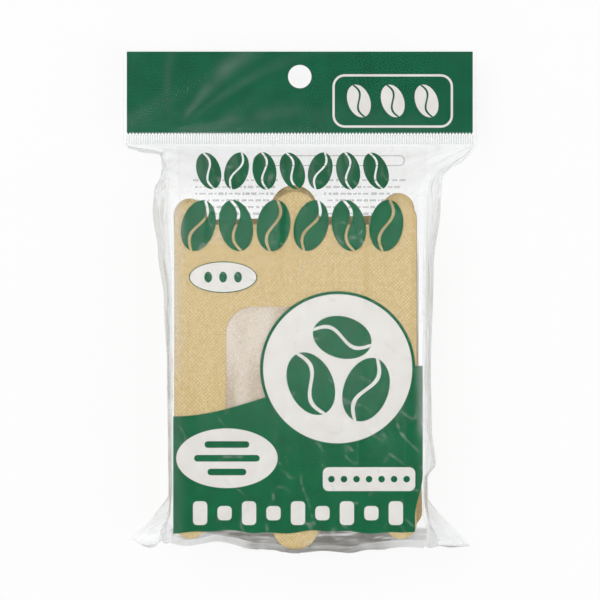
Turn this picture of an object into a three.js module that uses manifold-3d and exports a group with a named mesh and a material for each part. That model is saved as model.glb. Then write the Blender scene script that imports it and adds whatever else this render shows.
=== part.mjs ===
// A hang pack of fifty flat one-cup coffee drippers: a clear film bag, a green header strip sealed into its mouth, and
// the stack of card drippers that shows through the film. Millimetres.
// The pack lies on its back. +Z is up out of the printed front, +Y runs to the header, +X is the right-hand side of the
// front, and the origin is under the middle of the pack.
import * as THREE from "three";
import { mergeVertices } from "three/addons/utils/BufferGeometryUtils.js";
import Module from "manifold-3d";

// One dripper: a die-cut card with three rounded legs at each end and a filter bag folded flat behind its window
const CARD_WIDTH = 81;
const CARD_LENGTH = 119.8;
const BOARD = 0.35;
const MIDDLE_LEG_WIDTH = 15.3;
const MIDDLE_LEG_LENGTH = 11;
const SIDE_LEG_WIDTH = 10.3;
const SIDE_LEG_LENGTH = 7.4;
const WINDOW_WIDTH = 46.8;
const WINDOW_LENGTH = 43;
const WINDOW_CORNER = 9;
const FILTER_PLIES = 0.2;
const FILTER_MARGIN = 8;

// The stack: the drippers near the front lie square, and the batch behind them was packed a little turned
const DRIPPERS = 50;
const SQUARE_DRIPPERS = 14;
const DRIPPER_GAP = 0.08;
const BATCH_TURN = THREE.MathUtils.degToRad(1.5);
const BATCH_RIGHT = 0.8;
const BATCH_UP = 2.5;
const JOG = 0.25;
const STACK_LEFT_OF_MIDDLE = 1.4;

// The bag: two film walls, joined along both sides and the bottom fold
const FILM = 0.2;
const FILM_GAP = 0.3;
const BAG_SLACK = 7.6;
const HEADER_EDGE = 0.5;
const BAND_HEIGHT = 3.4;
const SHOULDER = 16.7;
const SHOULDER_LEAD = 1;
const BOTTOM_ROOM = 1.2;
const SIDE_SEAL = 0.8;
const RIDGE_WALL = 0.5;
const LEFT_SHOULDER_DROP = 2.4;
const RIGHT_SHOULDER_DROP = 12;
const EAR_LENGTH = 16;
const EAR_CURL = 2.2;

// The header strip, with its pinked lower edge and the hang hole that goes through it and both walls
const HEADER_HEIGHT = 28.2;
const HEADER_STRIP = 0.15;
const HEADER_GAP = 0.1;
const HEADER_MARGIN = 1.2;
const PINKING_PITCH = 1.1;
const PINKING_DEPTH = 0.8;
const HANG_HOLE = 8;
const HANG_HOLE_DROP = 9;

// The print on the front: a white backing, and a green field over it with plain shapes left white
const INK = 0.06;
const INK_GAP = 0.02;
const PRINT_MARGIN = 1;
const PRINT_FOOT = 5;
const FIELD_LEFT_HEIGHT = 41;
const FIELD_RIGHT_HEIGHT = 58;
const DISC_RADIUS = 26;
const DISC_RING = 1;
const DISC_RIGHT_ROOM = 2.5;
const DISC_FOOT_HEIGHT = 31;
const OVAL_WIDTH = 34;
const OVAL_HEIGHT = 20;
const OVAL_FOOT_HEIGHT = 17;
const LABEL_WIDTH = 31;
const LABEL_HEIGHT = 8;
const LABEL_CORNER = 2;
const LABEL_FOOT_HEIGHT = 16;
const BAR_COUNT = 9;
const BAR_WIDTH = 4.4;
const BAR_HEIGHT = 7;
const BAR_PITCH = 8.2;
const BAR_FOOT_HEIGHT = 4.5;

// Depths, from the table up
const dripperDepth = BOARD + FILTER_PLIES;
const dripperPitch = dripperDepth + DRIPPER_GAP;
const stackDepth = DRIPPERS * dripperPitch - DRIPPER_GAP;
const stackFloor = FILM + FILM_GAP;
const packDepth = stackFloor + stackDepth + FILM_GAP + FILM;
const midDepth = packDepth / 2;
const sealHalf = FILM + HEADER_GAP + HEADER_STRIP / 2;

// Heights along Y, from the header down
const packLength = HEADER_EDGE + HEADER_HEIGHT + BAND_HEIGHT + SHOULDER + CARD_LENGTH + BOTTOM_ROOM + FILM;
const packTop = packLength / 2;
const headerTop = packTop - HEADER_EDGE;
const headerLow = headerTop - HEADER_HEIGHT;
const bandLow = headerLow - BAND_HEIGHT;
const cardTop = bandLow - SHOULDER;
const cardMiddle = cardTop - CARD_LENGTH / 2;
const packLow = -packLength / 2;
const hangHoleY = packTop - HANG_HOLE_DROP;

// Widths along X: the flat bag goes once round the stack with some slack
const bagHalf = (CARD_WIDTH + stackDepth + BAG_SLACK) / 2;
const batchSwing = (CARD_LENGTH / 2) * Math.sin(BATCH_TURN);
const cardLeft = -STACK_LEFT_OF_MIDDLE - CARD_WIDTH / 2;
const cardRight = -STACK_LEFT_OF_MIDDLE + CARD_WIDTH / 2;
const wallRoom = JOG + FILM_GAP + FILM;
const frontLeft = cardLeft - Math.max(0, batchSwing - BATCH_RIGHT) - wallRoom;
const frontRight = cardRight + batchSwing + BATCH_RIGHT + wallRoom;
const earTip = bagHalf - EAR_CURL;

const wasm = await Module();
wasm.setup();

const lerp = THREE.MathUtils.lerp;
const ease = (value) => THREE.MathUtils.smoothstep(value, 0, 1);
const unit = (value) => THREE.MathUtils.clamp(value, 0, 1);

// Reads a short list of [place, value] pairs, with an eased run between each two
function follow(stations, place) {
  const next = stations.findIndex(([at]) => at >= place);
  if (next === 0) return stations[0][1];
  if (next < 0) return stations[stations.length - 1][1];
  const [from, low] = stations[next - 1];
  const [to, high] = stations[next];
  return lerp(low, high, ease((place - from) / (to - from)));
}

function toSolid(geometry) {
  const bare = geometry.clone();
  bare.deleteAttribute("normal");
  bare.deleteAttribute("uv");
  const merged = mergeVertices(bare, 1e-4);
  return new wasm.Manifold(new wasm.Mesh({
    numProp: 3,
    vertProperties: new Float32Array(merged.attributes.position.array),
    triVerts: new Uint32Array(merged.index.array),
  }));
}

function toGeometry(solid) {
  const mesh = solid.getMesh();
  const geometry = new THREE.BufferGeometry();
  geometry.setAttribute("position", new THREE.BufferAttribute(new Float32Array(mesh.vertProperties), 3));
  geometry.setIndex(new THREE.BufferAttribute(new Uint32Array(mesh.triVerts), 1));
  geometry.computeVertexNormals();
  return geometry;
}

// A flat plate with its lower face at z
function plate(shape, thickness, z, curveSegments = 6) {
  return new THREE.ExtrudeGeometry(shape, { depth: thickness, bevelEnabled: false, curveSegments }).translate(0, 0, z);
}

function roundedRectangle(width, height, corner, centreX = 0, centreY = 0) {
  const shape = new THREE.Shape();
  const [left, right] = [centreX - width / 2, centreX + width / 2];
  const [low, high] = [centreY - height / 2, centreY + height / 2];
  shape.absarc(right - corner, low + corner, corner, -Math.PI / 2, 0);
  shape.absarc(right - corner, high - corner, corner, 0, Math.PI / 2);
  shape.absarc(left + corner, high - corner, corner, Math.PI / 2, Math.PI);
  shape.absarc(left + corner, low + corner, corner, Math.PI, 1.5 * Math.PI);
  shape.closePath();
  return shape;
}

// Points of one leg, from its right foot over its round end to its left foot, in a frame where legs point along +Y
function legPoints(centreX, width, length, steps) {
  const radius = width / 2;
  const crown = CARD_LENGTH / 2 - MIDDLE_LEG_LENGTH + length - radius;
  return Array.from({ length: steps + 1 }, (_, step) => {
    const angle = (Math.PI * step) / steps;
    return new THREE.Vector2(centreX + radius * Math.cos(angle), crown + radius * Math.sin(angle));
  });
}

// The card's upper edge, from right to left: the legs stand on the line between them
function upperEdge() {
  const notch = CARD_LENGTH / 2 - MIDDLE_LEG_LENGTH;
  const middle = MIDDLE_LEG_WIDTH / 2;
  const inner = CARD_WIDTH / 2 - SIDE_LEG_WIDTH;
  const sideCentre = CARD_WIDTH / 2 - SIDE_LEG_WIDTH / 2;
  return [
    ...legPoints(sideCentre, SIDE_LEG_WIDTH, SIDE_LEG_LENGTH, 4),
    new THREE.Vector2(inner, notch),
    new THREE.Vector2(middle, notch),
    ...legPoints(0, MIDDLE_LEG_WIDTH, MIDDLE_LEG_LENGTH, 4),
    new THREE.Vector2(-middle, notch),
    new THREE.Vector2(-inner, notch),
    ...legPoints(-sideCentre, SIDE_LEG_WIDTH, SIDE_LEG_LENGTH, 4),
  ];
}

// The filter lies under the card, and shows in the window as a floor one board below the card's face
function dripperSolid() {
  const edge = upperEdge();
  const card = new THREE.Shape([...edge, ...edge.map((point) => point.clone().negate())]);
  card.holes.push(roundedRectangle(WINDOW_WIDTH, WINDOW_LENGTH, WINDOW_CORNER));
  const filter = new THREE.Shape();
  const [halfWidth, halfLength] = [WINDOW_WIDTH / 2 + FILTER_MARGIN, WINDOW_LENGTH / 2 + FILTER_MARGIN];
  filter.moveTo(-halfWidth, -halfLength).lineTo(halfWidth, -halfLength);
  filter.lineTo(halfWidth, halfLength).lineTo(-halfWidth, halfLength).closePath();
  return toSolid(plate(card, BOARD, FILTER_PLIES, 1)).add(toSolid(plate(filter, FILTER_PLIES, 0)));
}

// Where the two walls meet at a side: out at the seal, in along the stack, as room beyond the front's own edge
const LEFT_ROOM = [[-16, 4.2], [-8, 3.4], [0, 6.2], [6, 6.6], [20, 4.8], [36, 2.8], [60, 1.7], [104, 1.2]];
const RIGHT_ROOM = [[-5, 6.2], [4, 5.7], [25, 3.3], [60, 2.4], [80, 2.7], [92, 4], [97, 0.9], [104, 1.2]];

function seamX(y, side) {
  const fall = side < 0 ? LEFT_SHOULDER_DROP : RIGHT_SHOULDER_DROP;
  const room = follow(side < 0 ? LEFT_ROOM : RIGHT_ROOM, cardTop - y);
  const body = side < 0 ? frontLeft - room : frontRight + room;
  return lerp(side * bagHalf, body, ease((bandLow - y) / fall));
}

// The edge of the flat front: it starts just inside the seal and comes in to the stack over the shoulder
function edgeX(y, side) {
  const sealed = seamX(y, side) - side * 2 * SIDE_SEAL;
  const body = side < 0 ? frontLeft : frontRight;
  return lerp(sealed, body, unit((bandLow - y) / SHOULDER));
}

// The bottom fold, as its height over the pack's lowest point, from the left ear (-1) to the right ear (1)
const FOLD_LIFT = [
  [-1, 3.6], [-0.9, 1.6], [-0.78, 3.8], [-0.66, 2.6], [-0.48, 4], [-0.24, 1.4],
  [0, 0], [0.24, 0.2], [0.62, 2.2], [0.8, 1.6], [1, 1.3],
];
const foldY = (x) => packLow + follow(FOLD_LIFT, x / earTip);

// Columns of a wall, from a side seam to the edge of the front: how far in, and how much of the wall's height
const SIDE_COLUMNS = [{ inward: 0, rise: 0.1 }, { inward: 0.35, rise: 0.5 }, { inward: 0.72, rise: 0.88 }];
const FRONT_COLUMNS = 8;

// Rows of a wall: above the foot they lie at a height, and in the foot they run down to the fold
const footTop = packLow + EAR_LENGTH + 9;
const SHOULDER_ROWS = [0.06, 0.12, 0.2, 0.36, 0.52, 0.68];
const BODY_ROWS = 9;
const FOOT_ROWS = [
  { down: 0.2, rise: 1 }, { down: 0.36, rise: 1 }, { down: 0.52, rise: 1 }, { down: 0.68, rise: 1 },
  { down: 0.84, rise: 1 }, { down: 0.97, rise: 1 }, { down: 0.985, rise: 0.95 }, { down: 0.995, rise: 0.75 },
  { down: 1, rise: 0 },
];

function wallRows() {
  const level = (y) => ({ y, down: 0, rise: 1 });
  const shoulderRows = SHOULDER_ROWS.map((share) => level(bandLow - share * slopeReach(-1)));
  shoulderRows.push(level(bandLow - slopeReach(-1)), level(bandLow - slopeReach(1)));
  const bodyTop = bandLow - slopeReach(1);
  const bodyRows = Array.from({ length: BODY_ROWS }, (_, row) =>
    level(lerp(bodyTop, footTop, (row + 1) / BODY_ROWS)));
  const footRows = FOOT_ROWS.map(({ down, rise }) => ({ y: footTop, down, rise }));
  return [level(packTop), level(headerLow), level(bandLow), ...shoulderRows, ...bodyRows, ...footRows];
}

// How far below the band a wall reaches the stack's face: the back one is steeper, past the batch that sits higher
const slopeReach = (face) => SHOULDER - SHOULDER_LEAD - (face > 0 ? 0 : BATCH_UP);

// Height of a wall over the middle plane: thin at the seal, then up a straight slope
const wallHeight = (y, face) => lerp(sealHalf, midDepth, unit((bandLow - y) / slopeReach(face)));

// One row of points across a wall. inset is 0 on the outside and the film's thickness on the inside
function wallRow({ y, down, rise }, face, inset) {
  const height = wallHeight(y, face);
  const point = (x, share) => {
    const low = lerp(y, foldY(x) + inset, down);
    const climb = sealHalf + share * rise * (height - sealHalf) - inset;
    return new THREE.Vector3(x, low, midDepth + face * (down === 1 || share < 0 ? 0 : climb));
  };
  const earShare = down > 0 ? ease((down - 0.3) / 0.7) * 0.5 + unit((down - 0.3) / 0.7) * 0.5 : 0;
  const sideRun = (side) => {
    const seam = lerp(seamX(y, side), side * earTip, earShare) - side * (inset > 0 ? RIDGE_WALL : 0);
    const root = seamX(y, side) - side * (SIDE_SEAL + inset);
    const edge = edgeX(y, side) - side * inset;
    return [point(seam, -1), ...SIDE_COLUMNS.map(({ inward, rise: share }) => point(lerp(root, edge, inward), share))];
  };
  const [left, right] = [edgeX(y, -1) + inset, edgeX(y, 1) - inset];
  const front = Array.from({ length: FRONT_COLUMNS + 1 }, (_, column) =>
    point(lerp(left, right, column / FRONT_COLUMNS), 1));
  return [...sideRun(-1), ...front, ...sideRun(1).reverse()];
}

// A sheet between rows of points, as triangles. flip turns its faces over
function sheet(rows, flip) {
  const corners = [];
  for (let row = 0; row + 1 < rows.length; row += 1) {
    for (let column = 0; column + 1 < rows[row].length; column += 1) {
      const [a, b] = [rows[row][column], rows[row][column + 1]];
      const [c, d] = [rows[row + 1][column], rows[row + 1][column + 1]];
      corners.push(...(flip ? [a, b, c, b, d, c] : [a, c, b, b, c, d]));
    }
  }
  return corners;
}

// The bag: outer and inner walls that share their seams, joined round the open mouth at the top
function bagSolid() {
  const rows = wallRows();
  const corners = [];
  for (const face of [1, -1]) {
    const outer = rows.map((row) => wallRow(row, face, 0));
    const inner = rows.map((row) => wallRow(row, face, FILM));
    corners.push(...sheet(outer, face < 0), ...sheet(inner, face > 0), ...sheet([inner[0], outer[0]], face < 0));
  }
  const geometry = new THREE.BufferGeometry().setFromPoints(corners);
  return toSolid(geometry).subtract(hangHolePunch());
}

function hangHolePunch() {
  const punch = new THREE.CylinderGeometry(HANG_HOLE / 2, HANG_HOLE / 2, packDepth, 24);
  return toSolid(punch.rotateX(Math.PI / 2).translate(0, hangHoleY, midDepth));
}

// The header strip, between the walls: straight on three sides and pinked along the seal
function headerStrip() {
  const half = bagHalf - HEADER_MARGIN;
  const teeth = Math.round((2 * half) / PINKING_PITCH);
  const shape = new THREE.Shape();
  shape.moveTo(half, headerTop).lineTo(-half, headerTop);
  for (let tooth = 0; tooth < teeth; tooth += 1) {
    const pitch = (2 * half) / teeth;
    shape.lineTo(-half + tooth * pitch, headerLow + PINKING_DEPTH);
    shape.lineTo(-half + (tooth + 0.5) * pitch, headerLow);
  }
  shape.lineTo(half, headerLow + PINKING_DEPTH).closePath();
  const strip = plate(shape, HEADER_STRIP, midDepth - HEADER_STRIP / 2);
  return toSolid(strip).subtract(hangHolePunch());
}

// Places on the front print
const printLeft = frontLeft + PRINT_MARGIN;
const printRight = frontRight - PRINT_MARGIN;
const printLow = packLow + PRINT_FOOT;
const disc = { x: printRight - DISC_RIGHT_ROOM - DISC_RADIUS, y: printLow + DISC_FOOT_HEIGHT + DISC_RADIUS };

function fieldShape() {
  const width = printRight - printLeft;
  const [leftTop, rightTop] = [printLow + FIELD_LEFT_HEIGHT, printLow + FIELD_RIGHT_HEIGHT];
  const shape = new THREE.Shape();
  shape.moveTo(printLeft, printLow).lineTo(printRight, printLow).lineTo(printRight, rightTop);
  shape.bezierCurveTo(printRight - 0.45 * width, rightTop, printLeft + 0.3 * width, leftTop, printLeft, leftTop);
  shape.closePath();
  return shape;
}

const discShape = (radius) => new THREE.Shape().absarc(disc.x, disc.y, radius, 0, 2 * Math.PI);

function ovalShape() {
  const centreX = printLeft + PRINT_MARGIN + OVAL_WIDTH / 2;
  const centreY = printLow + OVAL_FOOT_HEIGHT + OVAL_HEIGHT / 2;
  return new THREE.Shape().absellipse(centreX, centreY, OVAL_WIDTH / 2, OVAL_HEIGHT / 2, 0, 2 * Math.PI);
}

function labelShape() {
  const centreX = printRight - DISC_RIGHT_ROOM - LABEL_WIDTH / 2;
  const centreY = printLow + LABEL_FOOT_HEIGHT + LABEL_HEIGHT / 2;
  return roundedRectangle(LABEL_WIDTH, LABEL_HEIGHT, LABEL_CORNER, centreX, centreY);
}

function barShapes() {
  const middle = (printLeft + printRight) / 2;
  return Array.from({ length: BAR_COUNT }, (_, bar) => {
    const centreX = middle + (bar - (BAR_COUNT - 1) / 2) * BAR_PITCH;
    const height = bar % 2 ? BAR_HEIGHT * 0.6 : BAR_HEIGHT;
    return roundedRectangle(BAR_WIDTH, height, BAR_WIDTH * 0.3, centreX, printLow + BAR_FOOT_HEIGHT + BAR_HEIGHT / 2);
  });
}

// White ink lies under the whole of the print
function whitePrint() {
  const z = packDepth + INK_GAP;
  return toSolid(plate(fieldShape(), INK, z)).add(toSolid(plate(discShape(DISC_RADIUS), INK, z, 12)));
}

// Green ink is left out of the disc, the oval, the label and the row of bars, and rings the disc
function greenPrint() {
  const z = packDepth + 2 * INK_GAP + INK;
  const through = (shape, segments) => toSolid(plate(shape, packDepth, z - midDepth, segments));
  let green = toSolid(plate(fieldShape(), INK, z));
  green = green.add(toSolid(plate(discShape(DISC_RADIUS), INK, z, 12)));
  green = green.subtract(through(discShape(DISC_RADIUS - DISC_RING), 12));
  green = green.subtract(through(ovalShape(), 8)).subtract(through(labelShape(), 2));
  return barShapes().reduce((rest, bar) => rest.subtract(through(bar, 1)), green);
}

// Small steps that differ from dripper to dripper, the same each time
const jogOf = (index, beat) => JOG * Math.sin(beat * (index + 1));

function dripperMesh(geometry, index) {
  const mesh = new THREE.Mesh(geometry, new THREE.MeshStandardMaterial({ color: 0xcfb582, roughness: 0.85 }));
  const jogged = index < DRIPPERS - SQUARE_DRIPPERS;
  mesh.name = `dripper_${String(DRIPPERS - index).padStart(2, "0")}`;
  mesh.position.set(
    -STACK_LEFT_OF_MIDDLE + (jogged ? BATCH_RIGHT : 0) + jogOf(index, 2.4) * (index < DRIPPERS - 1 ? 1 : 0),
    cardMiddle + (jogged ? BATCH_UP : 0) + jogOf(index, 1.7) * (index < DRIPPERS - 1 ? 1 : 0),
    stackFloor + index * dripperPitch,
  );
  mesh.rotation.z = jogged ? BATCH_TURN : 0;
  return mesh;
}

function namedMesh(name, geometry, material) {
  const mesh = new THREE.Mesh(geometry, new THREE.MeshStandardMaterial(material));
  mesh.name = name;
  return mesh;
}

const filmLook = { color: 0xdfe3e4, roughness: 0.12, transparent: true, opacity: 0.35 };
const group = new THREE.Group();
group.add(namedMesh("bag_film", toGeometry(bagSolid()), filmLook));
group.add(namedMesh("header_strip", toGeometry(headerStrip()), { color: 0x1d5b43, roughness: 0.35 }));
group.add(namedMesh("front_print_white", toGeometry(whitePrint()), { color: 0xe6e2de, roughness: 0.4 }));
group.add(namedMesh("front_print_green", toGeometry(greenPrint()), { color: 0x1e6146, roughness: 0.35 }));

const drippers = new THREE.Group();
const dripperGeometry = toGeometry(dripperSolid());
for (let index = 0; index < DRIPPERS; index += 1) drippers.add(dripperMesh(dripperGeometry, index));
group.add(drippers);

export default group;
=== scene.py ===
# Looks of a hang pack of flat coffee drippers: clear crumpled film, a green header strip, print on the
# walls, and the stack of card drippers inside. In metres, unless a comment says millimetres. The pack lies
# on its back, with +Z out of its front and +Y towards the header.
import math
import random

import bmesh
import bpy
import numpy as np
from mathutils import Matrix, Vector, noise
from mathutils.bvhtree import BVHTree


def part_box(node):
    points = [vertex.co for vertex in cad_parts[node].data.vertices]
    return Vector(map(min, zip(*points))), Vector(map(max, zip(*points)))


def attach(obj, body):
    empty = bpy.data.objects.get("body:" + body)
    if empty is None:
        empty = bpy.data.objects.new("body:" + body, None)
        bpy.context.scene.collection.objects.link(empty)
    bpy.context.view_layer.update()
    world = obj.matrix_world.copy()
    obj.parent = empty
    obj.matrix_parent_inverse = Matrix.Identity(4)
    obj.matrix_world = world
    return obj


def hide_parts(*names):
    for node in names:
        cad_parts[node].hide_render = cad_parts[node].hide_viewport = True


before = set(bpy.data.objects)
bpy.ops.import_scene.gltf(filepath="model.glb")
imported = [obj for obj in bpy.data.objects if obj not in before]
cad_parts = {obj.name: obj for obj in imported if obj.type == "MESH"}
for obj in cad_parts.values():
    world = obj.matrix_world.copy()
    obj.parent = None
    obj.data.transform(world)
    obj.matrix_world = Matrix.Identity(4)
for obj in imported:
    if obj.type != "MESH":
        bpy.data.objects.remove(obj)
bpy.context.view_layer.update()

MM = 0.001

# Sizes read from the frame
bag_low, bag_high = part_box("bag_film")
strip_low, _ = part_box("header_strip")
card_low, card_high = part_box("dripper_01")
ink_low, ink_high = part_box("front_print_green")
DRIPPERS = sum(name.startswith("dripper_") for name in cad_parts)

# The bag, as in the solid model
FILM = 0.2 * MM
FILM_GAP = 0.3 * MM
STRIP_GAP = 0.1 * MM
SHOULDER = 16.7 * MM
SHOULDER_LEAD = 1 * MM
BATCH_UP = 2.5 * MM
SIDE_SEAL = 0.8 * MM
LEFT_SHOULDER_DROP = 2.4 * MM
RIGHT_SHOULDER_DROP = 12 * MM
EAR_LENGTH = 16 * MM
EAR_CURL = 2.2 * MM
FOOT_LEAD = 9 * MM
PRINT_MARGIN = 1 * MM
HANG_HOLE = 8 * MM
HANG_HOLE_DROP = 9 * MM

mid_depth = bag_high.z / 2
bag_half = bag_high.x
ear_tip = bag_half - EAR_CURL
pack_low = bag_low.y
card_top = card_high.y
band_low = card_top + SHOULDER
header_low = strip_low.y
front_left = ink_low.x - PRINT_MARGIN
front_right = ink_high.x + PRINT_MARGIN
hang_hole = Vector((0, bag_high.y - HANG_HOLE_DROP, mid_depth))
seal_half = mid_depth - strip_low.z + STRIP_GAP + FILM
foot_top = pack_low + EAR_LENGTH + FOOT_LEAD
slope_foot = card_top + 0.5 * MM


def unit(value):
    return min(max(value, 0.0), 1.0)


def ease(value):
    value = unit(value)
    return value * value * (3 - 2 * value)


def lerp(low, high, share):
    return low + (high - low) * share


def follow(stations, place):
    """The value at a place along (place, value) pairs, with an eased run between each two."""
    if place <= stations[0][0]:
        return stations[0][1]
    for (start, low), (end, high) in zip(stations, stations[1:]):
        if place <= end:
            return lerp(low, high, ease((place - start) / (end - start)))
    return stations[-1][1]


# Where the two walls meet at a side, in millimetres: (down from the card's top, room beyond the front)
LEFT_ROOM = ((-16, 4.2), (-8, 3.4), (0, 6.2), (6, 6.6), (20, 4.8), (36, 2.8), (60, 1.7), (104, 1.2))
RIGHT_ROOM = ((-5, 6.2), (4, 5.7), (25, 3.3), (60, 2.4), (80, 2.7), (92, 4), (97, 0.9), (104, 1.2))

# The bottom fold, in millimetres over the pack's lowest point, from the left ear (-1) to the right ear (1)
FOLD_LIFT = (
    (-1, 3.6), (-0.9, 1.6), (-0.78, 3.8), (-0.66, 2.6), (-0.48, 4), (-0.24, 1.4),
    (0, 0), (0.24, 0.2), (0.62, 2.2), (0.8, 1.6), (1, 1.3),
)


def seam_x(y, side):
    drop = LEFT_SHOULDER_DROP if side < 0 else RIGHT_SHOULDER_DROP
    room = follow(LEFT_ROOM if side < 0 else RIGHT_ROOM, (card_top - y) / MM) * MM
    body = front_left - room if side < 0 else front_right + room
    return lerp(side * bag_half, body, ease((band_low - y) / drop))


def edge_x(y, side):
    sealed = seam_x(y, side) - side * 2 * SIDE_SEAL
    return lerp(sealed, front_left if side < 0 else front_right, unit((band_low - y) / SHOULDER))


def fold_y(x):
    return pack_low + follow(FOLD_LIFT, x / ear_tip) * MM


BEND_ROUND = 1.4 * MM


def wall_height(y, face):
    """Height of a wall over the middle plane, with the two bends of its slope rounded."""
    slope = SHOULDER - SHOULDER_LEAD - (0 if face > 0 else BATCH_UP)
    places = (y + share * BEND_ROUND for share in (1, 0.5, 0, -0.5, -1))
    shares = [unit((band_low - place) / slope) for place in places]
    return lerp(seal_half, mid_depth, sum(shares) / len(shares))


# Mesh of the film
FILM_STEP = 0.72 * MM
SIDE_STEPS = 18
SEAL_STEPS = 6
FOOT_WALL_STEPS = 20
FOOT_SAMPLES = 400
FOOT_CORNER = 1.2 * MM

# The ears begin this share of the way down the foot, and rise in a slope over this share of their length
EAR_START = 0.3
EAR_SLOPE = 0.3

# Along a side from the seam (0) to the edge of the front (1): (place, share of the wall's height)
SIDE_RISE = ((0, 0.1), (0.35, 0.5), (0.72, 0.88), (1, 1))


def side_rise(inward):
    for (start, low), (end, high) in zip(SIDE_RISE, SIDE_RISE[1:]):
        if inward <= end:
            return lerp(low, high, (inward - start) / (end - start))
    return 1.0


def foot_profile():
    """(down, rise) pairs over the rounded lower corner and down the end of the pack, evenly spaced."""
    run = foot_top - pack_low
    turn = np.linspace(0, math.pi / 2, FOOT_SAMPLES)
    down = FOOT_CORNER * np.sin(turn) ** 0.5
    rise = mid_depth * np.cos(turn) ** 0.5
    length = np.concatenate([[0], np.cumsum(np.hypot(np.diff(down), np.diff(rise)))])
    places = np.linspace(0, length[-1], FOOT_WALL_STEPS + 1)
    downs = 1 - (FOOT_CORNER - np.interp(places, length, down)) / run
    rises = np.interp(places, length, rise) / mid_depth
    return list(zip(downs, rises))


def film_rows():
    """(y, down, rise) of each row of the film's mesh, from the header's top to the bottom fold."""
    levels = [bag_high.y]
    while levels[-1] - FILM_STEP > foot_top:
        levels.append(levels[-1] - FILM_STEP)
    rows = [(y, 0.0, 1.0) for y in levels]
    profile = foot_profile()
    steps = round((foot_top - pack_low) / FILM_STEP)
    rows += [(foot_top, profile[0][0] * step / steps, 1.0) for step in range(steps)]
    return rows + [(foot_top, down, rise) for down, rise in profile]


def ear_share(down):
    grown = unit((down - EAR_START) / (1 - EAR_START))
    return (ease(grown) + grown) / 2


def film_grid(face):
    """Points of one wall as rows of columns, and for each point how far it lies out on a side."""
    front_steps = round((front_right - front_left) / FILM_STEP)
    points, sides = [], []
    for y, down, rise in film_rows():
        height = wall_height(y, face)

        def place(x, share):
            """A point that share of the wall's height over the seal, or on the seam itself below zero."""
            low = lerp(y, fold_y(x), down)
            climb = 0 if share < 0 else seal_half * (rise > 0) + share * rise * (height - seal_half)
            return (x, low, mid_depth + face * climb * min(1, rise * 8))

        def side_run(side):
            seam = lerp(seam_x(y, side), side * ear_tip, ear_share(down))
            root = lerp(seam_x(y, side) - side * SIDE_SEAL, seam, EAR_SLOPE * ear_share(down))
            run = [place(seam, -1)]
            for step in range(1, SEAL_STEPS):
                run.append(place(lerp(seam, root, step / SEAL_STEPS), side_rise(0) * step / SEAL_STEPS))
            inward = [step / SIDE_STEPS for step in range(SIDE_STEPS)]
            run += [place(lerp(root, edge_x(y, side), share), side_rise(share)) for share in inward]
            return run, [1.0] * SEAL_STEPS + [1 - share for share in inward]

        left, left_share = side_run(-1)
        right, right_share = side_run(1)
        edges = edge_x(y, -1), edge_x(y, 1)
        flat = [place(lerp(*edges, step / front_steps), 1) for step in range(front_steps + 1)]
        points.append(left + flat + right[::-1])
        sides.append(left_share + [0.0] * len(flat) + right_share[::-1])
    return np.array(points), np.array(sides)


def ridged(x, y, seed):
    """Noise with crisp crests, from -1 to 1."""
    return 1 - 2.6 * abs(noise.noise(Vector((x, y, seed))))


# Folds of the film, in millimetres. The functions for folds and pleats give how far the film stands out, and
# how creased it is.
WAVE_HEIGHT = 0.1

# Long upright pleats in the front wall: (across the pack, height, half width)
FRONT_PLEATS = ((-33, 0.14, 1.2), (-8, 0.24, 1.8), (-3.5, 0.12, 1.0), (21, 0.2, 1.6), (37, 0.18, 1.3))


def header_wave(mx, my, seed):
    """Slack in the film over the header strip, in long slanting swells that fade to the right."""
    across, along = 0.8 * my - 0.6 * mx, 0.8 * mx + 0.6 * my
    broad = noise.noise(Vector((across / 7, along / 42, seed)))
    fine = noise.noise(Vector((across / 3, along / 30, seed)))
    swell = ease((broad + 0.4 * fine + 0.5) / 1.1)
    clear_of_band = ease((my - header_low / MM) / 4)
    return WAVE_HEIGHT * swell * clear_of_band * (1 - 0.75 * ease((mx + 25) / 55))


# Sheen on the film over the header, fanned out from one point: (turn, half width, strength)
SHEEN_ROOT = (-44, 54)
HEADER_SHEEN = (
    (1.72, 0.05, 0.06), (1.06, 0.08, 0.16), (0.84, 0.04, 0.08), (0.44, 0.07, 0.09), (0.3, 0.04, 0.04),
)


def header_sheen(mx, my, seed):
    """How strong the sheen is at one point."""
    reach_x, reach_y = mx - SHEEN_ROOT[0], my - SHEEN_ROOT[1]
    reach = math.hypot(reach_x, reach_y)
    turn = math.atan2(reach_y, reach_x) + 0.005 * reach
    patchy = 0.75 + 0.8 * noise.noise(Vector((mx / 7, my / 7, 70 + seed)))
    glow = sum(strength * math.exp(-((turn - at) / width) ** 2) for at, width, strength in HEADER_SHEEN)
    return glow * patchy * ease((reach - 4) / 8) * (1 - 0.7 * ease((reach - 24) / 30))


def wall_folds(mx, my, side, seed):
    """Slack and upright pleats in the flat of a wall, and a few hairline creases."""
    broad = 0.1 * noise.noise(Vector((mx / 8, my / 60, 1 + seed)))
    broad += 0.03 * noise.noise(Vector((mx / 3, my / 16, seed)))
    tilted = mx - 0.03 * my
    pleats = sum(height * math.exp(-((tilted - at) / width) ** 2) for at, height, width in FRONT_PLEATS)
    lift = broad + pleats * (0.55 + 0.45 * math.sin(my / 17))
    hairline = ridged(mx / 11 + my / 30, my / 13, 41 + seed)
    hairline += 0.12 * noise.noise(Vector((mx / 2, my / 2, seed)))
    return lift * (1 - side), 0.35 * ease((hairline - 0.93) / 0.12) * (1 - side)


def edge_haze(mx, my):
    """Painted highlight, as white haze, where the front wall is drawn over the edges of the stack, with
    little of it low on the left.
    """
    from_edge = min(mx - front_left / MM, (front_right / MM - mx) * 1.6)
    patchy = 0.8 + 0.4 * noise.noise(Vector((mx / 3, my / 12, 60)))
    kept = 1 - 0.85 * ease((-mx / 4 - 30 - my) / 8)
    return 0.75 * kept * patchy * (1 - ease((abs(from_edge - 1.5) + 0.5) / 5))


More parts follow.
